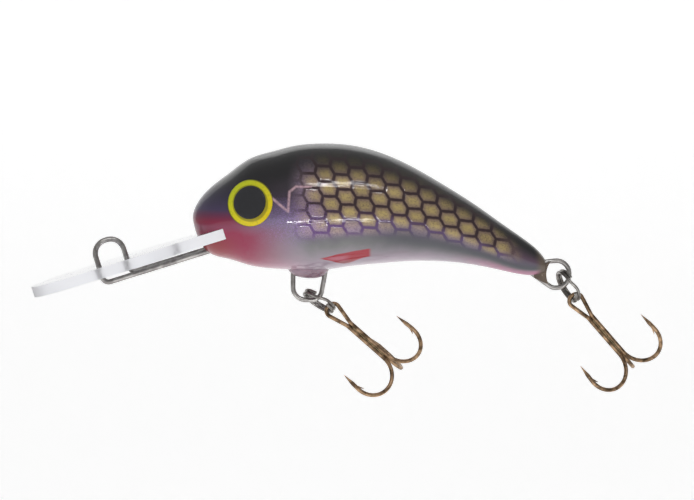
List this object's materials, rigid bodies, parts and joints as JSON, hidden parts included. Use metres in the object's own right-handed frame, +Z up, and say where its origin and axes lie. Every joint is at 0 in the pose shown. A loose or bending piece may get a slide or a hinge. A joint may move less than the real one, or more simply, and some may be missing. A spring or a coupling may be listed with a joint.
{
  "type": "crankbait lure",
  "caption": "Small deep-diving crankbait: plump hollow fish body, clear sloping lip, wire line tie, and treble hooks on split rings at belly and tail.",
  "frame": {"origin": "middle of the line-tie eye, where the fishing line is knotted", "axes": "+X from head to tail, +Z up towards the back, the fish's left side faces -Y"},
  "size_m": [0.0886, 0.0152, 0.0355],
  "materials": {
    "lure_paint": "airbrushed scale pattern under clear gloss",
    "clear_lip": "clear polished polycarbonate",
    "stainless_wire": "drawn stainless wire",
    "boss_resin": "tinted gloss resin",
    "clear_resin": "clear gloss resin",
    "eye_yellow": "gloss yellow",
    "eye_black": "gloss black dome",
    "ballast_metal": "dull cast lead grey",
    "tube_brass": "drawn tube",
    "ball_steel": "polished bearing ball",
    "ring_steel": "bright stainless spring wire",
    "hook_bronze": "bronze lacquer on high-carbon steel",
    "braze_metal": "lacquered braze"
  },
  "bodies": {
    "lure_body": {"body_left_half": "lure_paint", "body_right_half": "lure_paint", "diving_lip": "clear_lip", "line_tie_wire": "stainless_wire", "belly_hanger_wire": "stainless_wire", "tail_hanger_wire": "stainless_wire", "belly_boss": "boss_resin", "tail_resin": "clear_resin", "left_eye_iris": "eye_yellow", "left_eye_pupil": "eye_black", "right_eye_iris": "eye_yellow", "right_eye_pupil": "eye_black", "ballast_weight": "ballast_metal", "rattle_tube": "tube_brass", "rattle_tube_cap": "tube_brass"},
    "rattle_ball": {"rattle_ball": "ball_steel"},
    "front_ring": {"front_split_ring": "ring_steel"},
    "rear_ring": {"rear_split_ring": "ring_steel"},
    "front_hook": {"front_hook_pair": "hook_bronze", "front_hook_third": "hook_bronze", "front_hook_braze": "braze_metal"},
    "rear_hook": {"rear_hook_pair": "hook_bronze", "rear_hook_third": "hook_bronze", "rear_hook_braze": "braze_metal"}
  },
  "joints": [
    {"name": "front_ring_swing", "type": "hinge", "parent": "lure_body", "child": "front_ring", "pos_m": [0.0281, 0, -0.00667], "axis": [1, 0, 0], "range_deg": [-50, 50]},
    {"name": "front_hook_swing", "type": "hinge", "parent": "front_ring", "child": "front_hook", "pos_m": [0.03142, 0, -0.00811], "axis": [0, 1, 0], "range_deg": [-30, 110]},
    {"name": "rear_ring_swing", "type": "hinge", "parent": "lure_body", "child": "rear_ring", "pos_m": [0.06454, 0, -0.00388], "axis": [0.4098, 0, 0.9122], "range_deg": [-50, 50]},
    {"name": "rear_hook_swing", "type": "hinge", "parent": "rear_ring", "child": "rear_hook", "pos_m": [0.06568, 0, -0.00673], "axis": [0, 1, 0], "range_deg": [-60, 100]},
    {"name": "rattle_ball_slide", "type": "slide", "parent": "lure_body", "child": "rattle_ball", "axis": [1, 0, 0], "range_m": [0, 0.011]}
  ]
}
